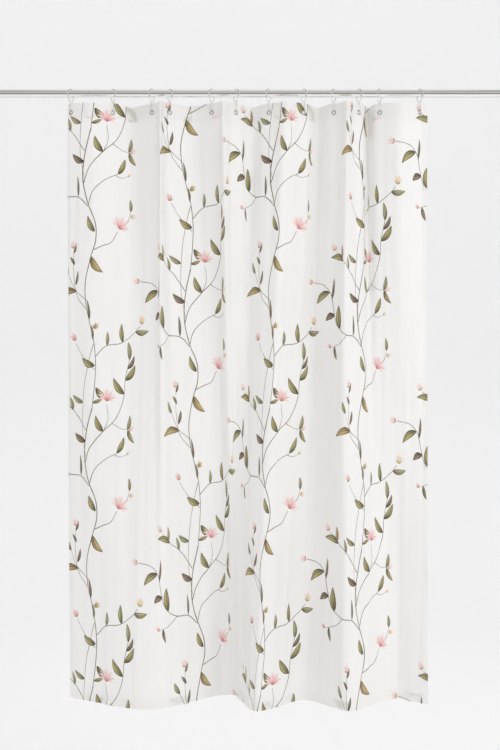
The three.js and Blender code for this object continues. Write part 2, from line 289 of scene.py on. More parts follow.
# Buds: x, y, facing in degrees, size, petal inks.
BUDS = [
    (156, 58, 12, 26, BLUSH), (148, 142, 38, 15, PEACH), (-262, 32, 172, 30, BLUSH),
    (-168, 254, 128, 20, PINK), (160, 276, -12, 22, PEACH), (-62, 386, 98, 30, BLUSH),
    (-60, 694, 112, 30, PINK), (206, 640, 78, 34, PEACH), (16, 652, 38, 26, OCHRE),
    (-158, -70, 118, 30, BLUSH),
]

LEAF, PETAL = 0.0, 1.0  # how the material shades a shape
STEM_STEP = 9
STEM_TIP = 0.6  # of its width at the foot
LEAF_POINTS = 9  # along each side
SLIVER = 0.3  # a leaf's half width at its ends, for placing its shading


class Shape:
    """One closed printed shape: outline, points inside, its own places (s, t), kind and two inks."""

    def __init__(self, outline, inside, own, kind, inks):
        self.outline = outline
        self.inside = inside
        self.own = own
        self.kind = kind
        self.inks = inks


def smooth_line(points, step):
    """Points at about equal steps on a smooth curve through the given ones."""
    points = np.array(points, float)
    padded = np.vstack([2 * points[0] - points[1], points, 2 * points[-1] - points[-2]])
    made = []
    for i in range(1, len(padded) - 2):
        p0, p1, p2, p3 = padded[i - 1:i + 3]
        count = max(2, round(np.linalg.norm(p2 - p1) / step))
        for t in np.arange(count) / count:
            made.append(0.5 * (2 * p1 + (p2 - p0) * t + (2 * p0 - 5 * p1 + 4 * p2 - p3) * t ** 2
                               + (3 * p1 - p0 - 3 * p2 + p3) * t ** 3))
    made.append(points[-1])
    return np.array(made)


def directions(line):
    """Unit directions along a line of points."""
    run = np.gradient(line, axis=0)
    return run / np.linalg.norm(run, axis=1)[:, None]


def stem_shape(width, inks, points):
    line = smooth_line(points, STEM_STEP)
    run = directions(line)
    side = np.column_stack([run[:, 1], -run[:, 0]])
    taper = np.linspace(1, STEM_TIP, len(line))[:, None] * width * STEM_SCALE / 2
    outline = np.vstack([line + side * taper, (line - side * taper)[::-1]])

    def own(places):
        s = 0.5 + 0.35 * np.sin(places[:, 1] * 0.11 + places[:, 0] * 0.07)
        return s, np.zeros(len(places))

    return Shape(outline, [], own, PETAL, inks)


def blade(foot, angle, length, width, bend, fullness, bluntness):
    """A leaf or petal: functions from its own places (s along, t across) to flat ones, and back."""
    heading = math.radians(angle)
    run = np.array([math.cos(heading), -math.sin(heading)])
    side = np.array([math.sin(heading), math.cos(heading)])

    def half_width(s):
        return width / 2 * np.maximum(np.sin(math.pi * np.clip(s, 0, 1) ** fullness), 0) ** bluntness

    def place(s, t):
        centre = bend * length * 4 * s * (1 - s)
        return np.array(foot) + np.outer(s * length, run) + np.outer(centre + t * half_width(s), side)

    def own(places):
        offset = places - np.array(foot)
        s = np.clip(offset @ run / length, 0, 1)
        across = offset @ side - bend * length * 4 * s * (1 - s)
        return s, np.clip(across / np.maximum(half_width(s), SLIVER), -1, 1)

    return place, own


def leaf_shape(x, y, angle, length, width, bend, inks):
    size = (length * LEAF_SCALE, width * LEAF_SCALE)
    place, own = blade((x, y), angle, *size, bend, fullness=0.82, bluntness=0.8)
    s = 0.5 - 0.5 * np.cos(math.pi * (np.arange(LEAF_POINTS) + 0.5) / LEAF_POINTS)
    ends = [place(np.array([end]), 0) for end in (0.0, 1.0)]
    outline = np.vstack([ends[0], place(s, 1), ends[1], place(s, -1)[::-1]])
    rib = np.linspace(0.06, 0.94, 7)
    inside = np.vstack([place(rib, 0), place(rib[1:-1], 0.5), place(rib[1:-1], -0.5)])
    return Shape(outline, inside, own, LEAF, inks)


def petal_shape(x, y, angle, length, width, inks, bend=0.04):
    place, own = blade((x, y), angle, length, width, bend, fullness=1.25, bluntness=0.9)
    s = np.array([0.15, 0.4, 0.65, 0.85])
    ends = [place(np.array([end]), 0) for end in (0.0, 1.0)]
    outline = np.vstack([ends[0], place(s, 1), ends[1], place(s, -1)[::-1]])
    return Shape(outline, place(np.array([0.35, 0.65]), 0), own, PETAL, inks)


# Petals of a flower: lean from its facing in degrees, length as a share of its size, inks.
FAN = [
    (-84, 0.80, BLUSH), (82, 0.84, BLUSH), (-66, 1.00, PINK), (63, 1.02, BLUSH), (-46, 0.96, BLUSH),
    (46, 1.04, PINK), (-30, 1.10, PINK), (28, 0.98, BLUSH), (-13, 1.00, BLUSH), (4, 1.12, PINK),
    (16, 1.04, BLUSH),
]


def flower_shapes(x, y, facing, size):
    shapes = [petal_shape(x, y, facing + lean, size * reach, size * 0.14, inks, 0.002 * lean)
              for lean, reach, inks in FAN]
    shapes += [petal_shape(x, y, facing + lean, size * 0.42, size * 0.06, HEART)
               for lean in (-52, -20, 8, 40)]
    return shapes


def bud_shapes(x, y, facing, size, inks):
    shapes = [petal_shape(x, y, facing + lean, size * reach, size * 0.26, inks)
              for lean, reach in ((-26, 0.8), (24, 0.86), (0, 1.0))]
    shapes += [petal_shape(x, y, facing + lean, size * 0.45, size * 0.16, OLIVE) for lean in (-46, 44)]
    return shapes


def vine_shapes():
    shapes = [stem_shape(*stem) for stem in STEMS]
    shapes += [leaf_shape(*leaf) for leaf in LEAVES]
    for flower in FLOWERS:
        shapes += flower_shapes(*flower)
    for bud in BUDS:
        shapes += bud_shapes(*bud)
    return shapes


def vine_places():
    """Where each copy of the vine's own origin lies on the flat cloth, in metres."""
    column = 0
    u = FIRST_VINE - VINE_SPACING
    while u < CLOTH_WIDTH + VINE_SPACING:
        start = FIRST_ROW - DROP_REPEAT + (DROP_REPEAT / 2 if column % 2 == 0 else 0)
        v = start - DROP_REPEAT
        while v < CLOTH_DROP + VINE_REACH:
            yield u, v
            v += DROP_REPEAT
        u += VINE_SPACING
        column += 1


# ------------------------------------------------------------------ cloth pieces

# Painted shade: the turned-over print seen through the heading is mixed faintly into the panel's own
# colour, standing in for light that passes through the cloth.
PAINTED_SHOW_THROUGH = 0.13  # how strongly the turned-over print shows through the heading
MELT = 1e-6  # points closer than this become one


class Region:
    """A stretch of the flat cloth: its corners, and where it lies once a hem is turned over."""

    def __init__(self, low, high, turned=None, behind=0.0):
        self.low, self.high = np.array(low, float), np.array(high, float)
        self.turned = turned or (lambda places: places)
        self.behind = behind

    def touches(self, outline):
        return np.all(outline.max(axis=0) > self.low) and np.all(outline.min(axis=0) < self.high)


class Printed:
    """One shape where it falls on the flat cloth; a ghost is the turned-over print showing through, painted
    faintly as shade on the panel.
    """

    def __init__(self, shape, origin, ghost):
        self.shape = shape
        self.origin = np.array(origin)
        self.scale = np.array([1, -1 if ghost else 1])
        self.strength = PAINTED_SHOW_THROUGH if ghost else 1.0
        self.outline = self.to_cloth(shape.outline)

    def to_cloth(self, points):
        return (np.array(points) * MM + self.origin) * self.scale

    def own(self, places):
        """The shape's own places (s, t) at places on the cloth."""
        return self.shape.own((places * self.scale - self.origin) / MM)

    def shows(self, region):
        in_heading = self.strength == 1.0 or self.outline[:, 1].min() <= TOP_HEM
        return region.touches(self.outline) and in_heading


def printed_shapes(region, mirror_top):
    """The print that falls on a region, lowest first."""
    layers = (True, False) if mirror_top else (False,)
    found = [Printed(shape, origin, ghost)
             for origin in vine_places() for shape in vine_shapes() for ghost in layers]
    return sorted((item for item in found if item.shows(region)), key=lambda item: item.strength)


def spaced(start, end, step):
    return np.linspace(start, end, max(2, round((end - start) / step) + 1))


def grid_points(region):
    """A grid over the region, with a row along each hem line that crosses it."""
    lines = [v for v in HEM_LINES if region.low[1] < v < region.high[1]]
    stops = [region.low[1], *lines, region.high[1]]
    down = np.unique(np.concatenate([spaced(*pair, GRID_V) for pair in zip(stops, stops[1:])]))
    return [(u, v) for v in down for u in spaced(region.low[0], region.high[0], GRID_U)]


def punched_hole(centre):
    turn = np.array(angles(HOLE_SIDES))
    return np.array(centre) + np.column_stack([HOLE_WIDE * np.cos(turn), HOLE_TALL * np.sin(turn)])


def triangulate(region, shapes, holes):
    """Places and triangles that follow every printed outline, and the shapes over each triangle."""
    points, faces, edges = grid_points(region), [], []

    def ring(outline):
        outline = np.array(outline)
        ahead = np.roll(outline, -1, axis=0)
        area = np.sum(outline[:, 0] * ahead[:, 1] - outline[:, 1] * ahead[:, 0])
        first = len(points)
        points.extend(map(tuple, outline if area > 0 else outline[::-1]))
        faces.append(list(range(first, len(points))))

    (left, top), (right, bottom) = region.low, region.high
    ring([(left, top), (right, top), (right, bottom), (left, bottom)])
    for centre in holes:
        ring(punched_hole(centre))
    for v in HEM_LINES:
        if top < v < bottom:
            edges.append((len(points), len(points) + 1))
            points.extend([(left, v), (right, v)])
    for item in shapes:
        ring(item.outline)
        points.extend(map(tuple, item.to_cloth(item.shape.inside) if len(item.shape.inside) else ()))
    made = delaunay_2d_cdt([Vector(p) for p in points], edges, faces, 0, MELT, True)
    places = np.array([tuple(p) for p in made[0]])
    first_shape = 1 + len(holes)
    triangles, numbers = [], []
    for corners, owners in zip(made[2], made[5]):
        if 0 not in owners or any(0 < owner < first_shape for owner in owners):
            continue
        triangles.append(corners)
        numbers.append(sorted(owner - first_shape for owner in owners if owner >= first_shape))
    return places, np.array(triangles), numbers


def top_shapes(middles, numbers, shapes):
    """The number of the shape on top of each triangle, or -1; ghosts only show in the heading."""
    tops = np.full(len(numbers), -1)
    for i, owners in enumerate(numbers):
        seen = [owner for owner in owners if shapes[owner].strength == 1.0 or middles[i, 1] < TOP_HEM]
        if seen:
            tops[i] = seen[-1]
    return tops


def paint_print(places, triangles, numbers, shapes):
    """Light ink, dark ink, own place and ink strength at each triangle's corners."""
    light, dark, own = (np.zeros((len(triangles), 3, 3)) for _ in range(3))
    strengths = np.zeros((len(triangles), 3))
    tops = top_shapes(places[triangles].mean(axis=1), numbers, shapes)
    order = np.argsort(tops, kind="stable")
    starts = np.searchsorted(tops[order], np.arange(len(shapes) + 1))
    for number, item in enumerate(shapes):
        mine = order[starts[number]:starts[number + 1]]
        if len(mine) == 0:
            continue
        s, t = item.own(places[triangles[mine]].reshape(-1, 2))
        own[mine] = np.column_stack([s, t, np.full(len(s), item.shape.kind)]).reshape(-1, 3, 3)
        light[mine], dark[mine] = item.shape.inks
        # A ghost's low strength paints faint shade of the turned-over print into the panel's colour.
        strengths[mine] = item.strength
    return light, dark, own, strengths


def add_maps(mesh, region, places):
    """The flat places as a UV map in metres, and the same spread over 0 to 1."""
    weave = mesh.uv_layers.new(name="Flat")
    weave.data.foreach_set("uv", places.ravel())
    bake = mesh.uv_layers.new(name="OFBake")
    share = (places - region.low) / (region.high - region.low)
    share[:, 1] = 1 - share[:, 1]
    bake.data.foreach_set("uv", share.ravel())


def add_inks(mesh, light, dark, own, strengths):
    for label, values in (("InkLight", light), ("InkDark", dark), ("InkPlace", own)):
        layer = mesh.attributes.new(name=label, type="FLOAT_VECTOR", domain="CORNER")
        layer.data.foreach_set("vector", values.ravel())
    ink = mesh.attributes.new(name="Ink", type="FLOAT", domain="CORNER")
    ink.data.foreach_set("value", strengths.ravel())


def turned_away(co, triangles, hung, behind):
    """Which triangles face the wrong way: the panel faces the room, the hem flaps face the wall."""
    a, b, c = (co[triangles[:, i]] for i in range(3))
    facing = np.einsum("ij,ij->i", np.cross(b - a, c - a), forward(*hung[triangles[:, 0]].T))
    return facing * (-1 if behind else 1) < 0


def add_object(name, data):
    obj = bpy.data.objects.new(name, data)
    bpy.context.collection.objects.link(obj)
    return obj


def cloth_piece(name, region, holes=(), mirror_top=False):
    """A sheet of the printed cloth, hung in its place."""
    shapes = printed_shapes(region, mirror_top)
    places, triangles, numbers = triangulate(region, shapes, holes)
    inks = paint_print(places, triangles, numbers, shapes)
    used, triangles = np.unique(triangles, return_inverse=True)
    triangles = triangles.reshape(-1, 3)
    places = places[used]
    hung = region.turned(places)
    co = cloth_points(hung[:, 0], hung[:, 1], region.behind)
    flip = turned_away(co, triangles, hung, region.behind)
    for values in (triangles, *inks):
        values[flip] = values[flip][:, ::-1]
    mesh = bpy.data.meshes.new(name)
    mesh.from_pydata(co.tolist(), [], triangles.tolist())
    mesh.polygons.foreach_set("use_smooth", [True] * len(mesh.polygons))
    add_maps(mesh, region, places[triangles.ravel()])
    add_inks(mesh, *inks)
    return add_object(name, mesh)


def fold_top(places):
    return np.column_stack([places[:, 0], -places[:, 1]])


def fold_bottom(places):
    return np.column_stack([places[:, 0], 2 * CLOTH_DROP - places[:, 1]])


def fold_left(places):
    return np.column_stack([-places[:, 0], places[:, 1]])


def fold_right(places):
    return np.column_stack([2 * CLOTH_WIDTH - places[:, 0], places[:, 1]])


def hem_regions():
    side_top, side_end = HEM_LINES
    right = CLOTH_WIDTH
    bottom = CLOTH_DROP
    return {
        "top_hem": Region((0, -TOP_HEM), (right, 0), fold_top, FLAP_DEPTH),
        "bottom_hem": Region((0, bottom), (right, bottom + BOTTOM_HEM), fold_bottom, FLAP_DEPTH),
        "left_side_hem": Region((-SIDE_HEM, side_top), (0, side_end), fold_left, FLAP_DEPTH),
        "right_side_hem": Region((right, side_top), (right + SIDE_HEM, side_end), fold_right, FLAP_DEPTH),
    }


def make_cloth():
    eyelets = [(eyelet_u(i), EYELET_DROP) for i in range(len(HOOKS))]
    whole = Region((0, 0), (CLOTH_WIDTH, CLOTH_DROP))
    # mirror_top adds the ghosts: painted shade of the turned-over print showing through the heading.
    panel = cloth_piece("printed_panel", whole, eyelets, mirror_top=True)
    hems = []
    for node, region in hem_regions().items():
        holes = [(u, -v) for u, v in eyelets] if node == "top_hem" else ()
        hem = cloth_piece("sewn_" + node, region, holes)
        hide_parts(node)
        hems.append(hem)
    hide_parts("curtain_panel")
    return panel, hems


# ------------------------------------------------------------------ stitches

STITCH_LENGTH = 0.0030
STITCH_PITCH = 0.0042
STITCH_RADIUS = 0.00028
STITCH_LIFT = 0.0001  # its rim, above the cloth
STITCH_CROWN = STITCH_RADIUS * 1.6  # its middle, above the cloth
SEAM_INSET = 0.003  # from the edge of a top or bottom hem
SIDE_SEAM_INSET = 0.0025
SEAM_END = 0.002
# Faces of one stitch: its two ends and two sides are 0 to 3, its crown is 4.
STITCH_FACES = ((0, 1, 4), (1, 2, 4), (2, 3, 4), (3, 0, 4), (1, 0, 3), (1, 3, 2))


def stitch_line(start, end):
    """Middles of the stitches between two flat places, with the direction they run in."""
    start, end = np.array(start), np.array(end)
    length = np.linalg.norm(end - start)
    count = int(length / STITCH_PITCH)
    run = (end - start) / length
    return [(start + run * STITCH_PITCH * (i + 0.5), run) for i in range(count)]


def seams():
    low = CLOTH_DROP - BOTTOM_HEM + SEAM_INSET
    top = TOP_HEM - SEAM_INSET
    left = SIDE_HEM - SIDE_SEAM_INSET
    right = CLOTH_WIDTH - left
    start, end = SEAM_END, CLOTH_WIDTH - SEAM_END
    return [((start, top), (end, top)), ((start, low), (end, low)),
            ((left, top), (left, low)), ((right, top), (right, low))]


def make_stitches():
    middles = [item for seam in seams() for item in stitch_line(*seam)]
    at = np.array([middle for middle, _ in middles])
    run = np.array([way for _, way in middles])
    ends = [at - run * STITCH_LENGTH / 2, at + run * STITCH_LENGTH / 2]
    sides = [at + run[:, ::-1] * STITCH_RADIUS, at - run[:, ::-1] * STITCH_RADIUS]
    rim = (ends[0], sides[0], ends[1], sides[1])
    corners = [cloth_points(*place.T, -STITCH_LIFT) for place in rim]
    corners.append(cloth_points(*at.T, -STITCH_CROWN))
    co = np.stack(corners, axis=1).reshape(-1, 3)
    faces = [[5 * i + corner for corner in face] for i in range(len(at)) for face in STITCH_FACES]
    mesh = bpy.data.meshes.new("hem_stitches")
    mesh.from_pydata(co.tolist(), [], faces)
    obj = add_object("hem_stitches", mesh)
    return obj


# ------------------------------------------------------------------ metal and plastic pieces

SHARP_ANGLE = math.radians(38)  # edges sharper than this stay sharp
CORNER_STEPS = 4
CORNER_SHARE = 0.45  # of a side that one of its rounded corners may take


def new_piece(name, mesh_data):
    mesh = bpy.data.meshes.new(name)
    mesh_data.to_mesh(mesh)
    mesh_data.free()
    mesh.polygons.foreach_set("use_smooth", [True] * len(mesh.polygons))
    return add_object(name, mesh)


def turned_piece(name, outline, sides, matrix):
    """Turns a closed outline of (radius, height) about the local Z axis."""
    mesh = bmesh.new()
    rings = []
    for radius, height in outline:
        if radius == 0:
            rings.append([mesh.verts.new((0, 0, height))])
            continue
        rings.append([mesh.verts.new((radius * math.cos(a), radius * math.sin(a), height))
                      for a in angles(sides)])
    for near, far in zip(rings, rings[1:] + rings[:1]):
        for k in range(sides):
            following = k + 1
            corners = [near[k % len(near)], near[following % len(near)],
                       far[following % len(far)], far[k % len(far)]]
            corners = list(dict.fromkeys(corners))
            if len(corners) > 2:
                mesh.faces.new(corners)
    bmesh.ops.recalc_face_normals(mesh, faces=mesh.faces)
    bmesh.ops.transform(mesh, matrix=matrix, verts=mesh.verts)
    obj = new_piece(name, mesh)
    edges = obj.modifiers.new("edges", "EDGE_SPLIT")
    edges.split_angle = SHARP_ANGLE
    return obj


def rounded(points, radius):
    """An outline with each corner rounded; a point on the axis stays sharp."""
    points = [np.array(p, float) for p in points]
    made = []
    for i, corner in enumerate(points):
        if corner[0] == 0:
            made.append(tuple(corner))
            continue
        before, after = points[i - 1] - corner, points[(i + 1) % len(points)] - corner
        reach = min(radius, *(np.linalg.norm(side) * CORNER_SHARE for side in (before, after)))
        start = corner + before / np.linalg.norm(before) * reach
        end = corner + after / np.linalg.norm(after) * reach
        for k in range(CORNER_STEPS + 1):
            t = k / CORNER_STEPS
            made.append(tuple((1 - t) ** 2 * start + 2 * t * (1 - t) * corner + t * t * end))
    return made


ALONG_ROD = Matrix(((0, 0, 1, 0), (0, 1, 0, 0), (-1, 0, 0, 0), (0, 0, 0, 1)))
TUBE_WALL = 0.001
TUBE_EDGE = 0.0004
TUBE_SIDES = 128
FOOT_SIDES = 96
FOOT_GAP = 0.3 * MM  # between the pad, the cup and the tube
PAD_EDGE = 0.0012
CUP_EDGE = 0.0008
CUP_FLOOR = 0.005
CUP_RIM = 0.0075  # the straight rim against the pad
CUP_STEP = (0.0012, 0.0013)  # in and along, where the cup starts to narrow
CUP_COLLAR = 0.004
COLLAR_WALLS = (0.0020, 0.0016)  # at the collar's foot and at its mouth


def half_height(box):
    return (box[1][2] - box[0][2]) / 2


def tube_piece(node, name):
    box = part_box(node)
    start, end = box[0][0], box[1][0]
    radius = half_height(box)
    bore = radius - TUBE_WALL
    outline = [(bore, start), (radius, start), (radius, end), (bore, end)]
    tube = turned_piece(name, rounded(outline, TUBE_EDGE), TUBE_SIDES, ALONG_ROD)
    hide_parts(node)
    return tube


def foot_piece(name, outline, edge, side):
    """A turned piece of a foot; its outline's heights are distances from the wall."""
    wall_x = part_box("left_pad")[0][0] if side == "left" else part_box("right_pad")[1][0]
    inward = 1 if side == "left" else -1
    placed = [(radius, wall_x + inward * distance) for radius, distance in outline]
    return turned_piece(name, rounded(placed, edge), FOOT_SIDES, ALONG_ROD)


def foot_pieces(side, tube_radius):
    """The cup and the rubber pad at one end of the rod."""
    pad_box, cup_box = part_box(side + "_pad"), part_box(side + "_cup")
    pad_radius, pad_depth = half_height(pad_box), pad_box[1][0] - pad_box[0][0]
    pad_outline = [(0, 0), (pad_radius, 0), (pad_radius, pad_depth), (0, pad_depth)]
    back = pad_depth + FOOT_GAP
    mouth = back + cup_box[1][0] - cup_box[0][0]
    radius, bore = half_height(cup_box), tube_radius + FOOT_GAP
    rim = back + CUP_RIM
    cup_outline = [
        (0, back), (radius, back), (radius, rim), (radius - CUP_STEP[0], rim + CUP_STEP[1]),
        (bore + COLLAR_WALLS[0], mouth - CUP_COLLAR), (bore + COLLAR_WALLS[1], mouth), (bore, mouth),
        (bore, back + CUP_FLOOR), (0, back + CUP_FLOOR),
    ]
    pad = foot_piece(side + "_rubber_pad", pad_outline, PAD_EDGE, side)
    cup = foot_piece(side + "_end_cup", cup_outline, CUP_EDGE, side)
    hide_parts(side + "_pad")
    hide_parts(side + "_cup")
    return pad, cup


def eyelet_matrix(index):
    """Places a piece made about Z at one eyelet, with Z towards the room."""
    centre = Vector((HOOK_X[index], 0, CLOTH_TOP - EYELET_DROP))
    side = turn_of(index)
    facing = Vector((-side * math.sin(HOOK_YAW), -math.cos(HOOK_YAW), 0))
    return Matrix.Translation(centre) @ facing.to_track_quat("Z", "Y").to_matrix().to_4x4()


# Sections of the eyelet's two pieces in millimetres: radius, height in front of the cloth.
EYELET_OUTLINE = [
    (4.8, 1.0), (4.95, 1.45), (5.5, 1.75), (6.4, 1.8), (7.5, 1.45), (8.35, 0.9), (8.5, 0.42), (8.2, 0.36),
    (5.0, 0.42), (5.0, -2.1), (6.1, -2.15), (6.25, -2.4), (5.95, -2.7), (5.3, -2.8), (4.8, -2.55),
]
WASHER_OUTLINE = [(5.6, -1.2), (8.3, -1.2), (8.5, -1.45), (8.2, -1.8), (6.6, -2.0), (5.6, -1.95)]
EYELET_SIDES = 48


def eyelet_pieces(index):
    number = HOOKS[index]
    pieces = []
    for name, node, section in (("eyelet_", "eyelet_front_", EYELET_OUTLINE),
                                ("washer_", "eyelet_washer_", WASHER_OUTLINE)):
        outline = [(radius * MM, height * MM) for radius, height in section]
        piece = turned_piece(name + number, outline, EYELET_SIDES, eyelet_matrix(index))
        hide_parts(node + number)
        pieces.append(piece)
    return pieces


WIRE_RADIUS = 0.0012
WIRE_SIDES = 14
WIRE_STEP = 1.5
# Half of a ring's outline in millimetres, from the top down: distance from the middle, height.
RING_TOP = (0, 14.3)
RING_HALF = [
    (12.4, 10.8), (16.8, 0), (13.2, -13.5), (6, -25), (4.1, -32), (5.6, -41), (7.4, -50), (5.3, -58.4),
]
RING_BOTTOM = (0, -61.6)
RING_NECK = 4  # the outline's point where the wire's two ends meet at the latch
LATCH_GAP = 1.0


def ring_route():
    """The wire's route: from the latch over the rod, down through the eyelet and back to the latch."""
    near = [(-half, height) for half, height in RING_HALF]
    end = (near[RING_NECK][0], near[RING_NECK][1] - LATCH_GAP)
    return [*near[RING_NECK::-1], RING_TOP, *RING_HALF, RING_BOTTOM, *near[:RING_NECK:-1], end]


def ring_piece(index):
    """One gourd-shaped wire ring, bent from a single wire that ends at its latch."""
    line = smooth_line(ring_route(), WIRE_STEP) * MM
    mesh = bmesh.new()
    rings = []
    for place, way in zip(line, directions(line)):
        middle = Vector((0, place[0], place[1]))
        out = Vector((0, way[1], -way[0]))
        across = Vector((1, 0, 0))
        rings.append([mesh.verts.new(middle + WIRE_RADIUS * (math.cos(a) * out + math.sin(a) * across))
                      for a in angles(WIRE_SIDES)])
    for near, far in zip(rings, rings[1:]):
        for k in range(WIRE_SIDES):
            following = (k + 1) % WIRE_SIDES
            mesh.faces.new((near[k], near[following], far[following], far[k]))
    mesh.faces.new(rings[0])
    mesh.faces.new(rings[-1][::-1])
    bmesh.ops.recalc_face_normals(mesh, faces=mesh.faces)
    turn = Matrix.Rotation(-turn_of(index) * HOOK_YAW, 4, "Z")
    bmesh.ops.transform(mesh, matrix=Matrix.Translation((HOOK_X[index], 0, 0)) @ turn, verts=mesh.verts)
    ring = new_piece("ring_" + HOOKS[index], mesh)
    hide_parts("hook_" + HOOKS[index])
    return ring


# ------------------------------------------------------------------ materials

MOTTLING = 1.1
WEAVE_SCALE = 420.0
CLOTH_DARK, CLOTH_LIGHT = (0.905, 0.890, 0.875), (0.930, 0.920, 0.908)
PANEL_PASSES, HEM_PASSES = 0.26, 0.85  # share of the light that goes on through the cloth

# Two tones of each plain material.
THREAD = ((0.84, 0.83, 0.81), (0.90, 0.89, 0.88))
STEEL = ((0.86, 0.85, 0.835), (0.92, 0.91, 0.895))
RUBBER = ((0.68, 0.67, 0.64), (0.74, 0.73, 0.70))
CUP_PLASTIC = ((0.80, 0.79, 0.77), (0.84, 0.83, 0.81))
LOCK_PLASTIC = ((0.17, 0.17, 0.18), (0.24, 0.24, 0.25))
NICKEL = ((0.60, 0.595, 0.59), (0.68, 0.675, 0.67))
CHROME = ((0.88, 0.875, 0.87), (0.94, 0.935, 0.93))
ALONG_GRAIN = (0.02, 1, 1)  # stretches the steel's grain along the rod


class Nodes:
    """Short forms for building one material."""

    def __init__(self, name):
        self.material = bpy.data.materials.new(name)
        self.material.use_nodes = True
        self.tree = self.material.node_tree
        self.bsdf = self.tree.nodes["Principled BSDF"]
        self.output = self.tree.nodes["Material Output"]

    def add(self, kind, **values):
        node = self.tree.nodes.new("ShaderNode" + kind)
        for key, value in values.items():
            if hasattr(node, key):
                setattr(node, key, value)
            else:
                node.inputs[key.replace("_", " ")].default_value = value
        return node

    def link(self, out, into):
        self.tree.links.new(out, into)

    def math(self, operation, *values):
        """The output of a Math node fed with sockets and plain numbers."""
        node = self.add("Math", operation=operation)
        for value, socket in zip(values, node.inputs):
            if isinstance(value, (int, float)):
                socket.default_value = value
            else:
                self.link(value, socket)
        return node.outputs["Value"]

    def set(self, **values):
        for key, value in values.items():
            self.bsdf.inputs[key.replace("_", " ")].default_value = value


def leaf_shade(n, s, t):
    """How dark a leaf's ink is at its own place: edges, rib, veins, one half, tip and foot."""
    out = n.math("ABSOLUTE", t)
    foot = n.math("SUBTRACT", 1.0, s)
    edge = n.math("MULTIPLY", n.math("POWER", out, 3.0), 0.6)
    rib = n.math("MULTIPLY", n.math("LESS_THAN", out, 0.10), 0.4)
    slant = n.math("SUBTRACT", n.math("MULTIPLY", s, 30.0), n.math("MULTIPLY", out, 7.0))
    veins = n.math("MULTIPLY", n.math("POWER", n.math("ABSOLUTE", n.math("SINE", slant)), 4.0), 0.26)
    half = n.math("MULTIPLY", n.math("GREATER_THAN", t, 0.0), 0.26)
    tip = n.math("MULTIPLY", n.math("POWER", s, 7.0), 0.6)
    leaf = n.math("MULTIPLY", n.math("POWER", foot, 3.0), 0.75)
    for part in (edge, rib, veins, half, tip):
        leaf = n.math("ADD", leaf, part)
    return leaf


def petal_shade(n, s, t):
    """Petals and stems are darkest at the foot and pale outwards."""
    foot = n.math("MULTIPLY", n.math("POWER", n.math("SUBTRACT", 1.0, s), 1.6), 0.9)
    edge = n.math("MULTIPLY", n.math("POWER", n.math("ABSOLUTE", t), 2.0), 0.2)
    return n.math("ADD", foot, edge)


def printed_ink(n, wash):
    """The print's colour, between each shape's light and dark ink, mottled as watercolour is."""
    place = n.add("SeparateXYZ")
    n.link(n.add("Attribute", attribute_name="InkPlace").outputs["Vector"], place.inputs[0])
    s, t, kind = place.outputs
    amount = n.add("Mix", data_type="FLOAT")
    n.link(kind, amount.inputs["Factor"])
    n.link(leaf_shade(n, s, t), amount.inputs[2])
    n.link(petal_shade(n, s, t), amount.inputs[3])
    mottle = n.math("MULTIPLY", n.math("SUBTRACT", wash, 0.5), MOTTLING)
    mottled = n.math("ADD", amount.outputs[0], mottle)
    ink = n.add("Mix", data_type="RGBA")
    n.link(n.math("MINIMUM", n.math("MAXIMUM", mottled, 0.0), 1.0), ink.inputs["Factor"])
    n.link(n.add("Attribute", attribute_name="InkLight").outputs["Color"], ink.inputs[6])
    n.link(n.add("Attribute", attribute_name="InkDark").outputs["Color"], ink.inputs[7])
    return ink.outputs[2]


def woven_normal(n, flat):
    """Fine crossed threads and the soft slubs of the cloth."""
    threads = []
    for axis in "XY":
        wave = n.add("TexWave", bands_direction=axis, Scale=WEAVE_SCALE, Distortion=0.6)
        n.link(flat, wave.inputs["Vector"])
        threads.append(wave.outputs["Fac"])
    slub = n.add("TexNoise", Scale=38.0, Detail=5.0)
    n.link(flat, slub.inputs["Vector"])
    weave_bump = n.add("Bump", Strength=0.12, Distance=0.00012)
    n.link(n.math("MAXIMUM", *threads), weave_bump.inputs["Height"])
    slub_bump = n.add("Bump", Strength=0.25, Distance=0.0012)
    n.link(slub.outputs["Fac"], slub_bump.inputs["Height"])
    n.link(weave_bump.outputs["Normal"], slub_bump.inputs["Normal"])
    return slub_bump.outputs["Normal"]


def cloth_material(name, passes_light):
    """Printed cloth; passes_light is the share of light that shines through it."""
    n = Nodes(name)
    flat = n.add("UVMap", uv_map="Flat").outputs["UV"]
    cloud = n.add("TexNoise", Scale=9.0, Detail=3.0)
    n.link(flat, cloud.inputs["Vector"])
    base = n.add("ValToRGB")
    for element, colour in zip(base.color_ramp.elements, (CLOTH_DARK, CLOTH_LIGHT)):
        element.color = (*colour, 1)
    n.link(cloud.outputs["Fac"], base.inputs["Fac"])
    wash = n.add("TexNoise", Scale=240.0, Detail=4.0, Roughness=0.6)
    n.link(flat, wash.inputs["Vector"])
    mix = n.add("Mix", data_type="RGBA")
    n.link(n.add("Attribute", attribute_name="Ink").outputs["Fac"], mix.inputs["Factor"])
    n.link(base.outputs["Color"], mix.inputs[6])
    n.link(printed_ink(n, wash.outputs["Fac"]), mix.inputs[7])
    n.link(mix.outputs[2], n.bsdf.inputs["Base Color"])
    n.link(woven_normal(n, flat), n.bsdf.inputs["Normal"])
    n.set(Roughness=0.78, Sheen_Weight=0.12, Sheen_Roughness=0.4, Specular_IOR_Level=0.25)
    glow = n.add("BsdfTranslucent")
    n.link(mix.outputs[2], glow.inputs["Color"])
    both = n.add("MixShader", Fac=passes_light)
    n.link(n.bsdf.outputs["BSDF"], both.inputs[1])
    n.link(glow.outputs["BSDF"], both.inputs[2])
    n.link(both.outputs["Shader"], n.output.inputs["Surface"])
    return n.material


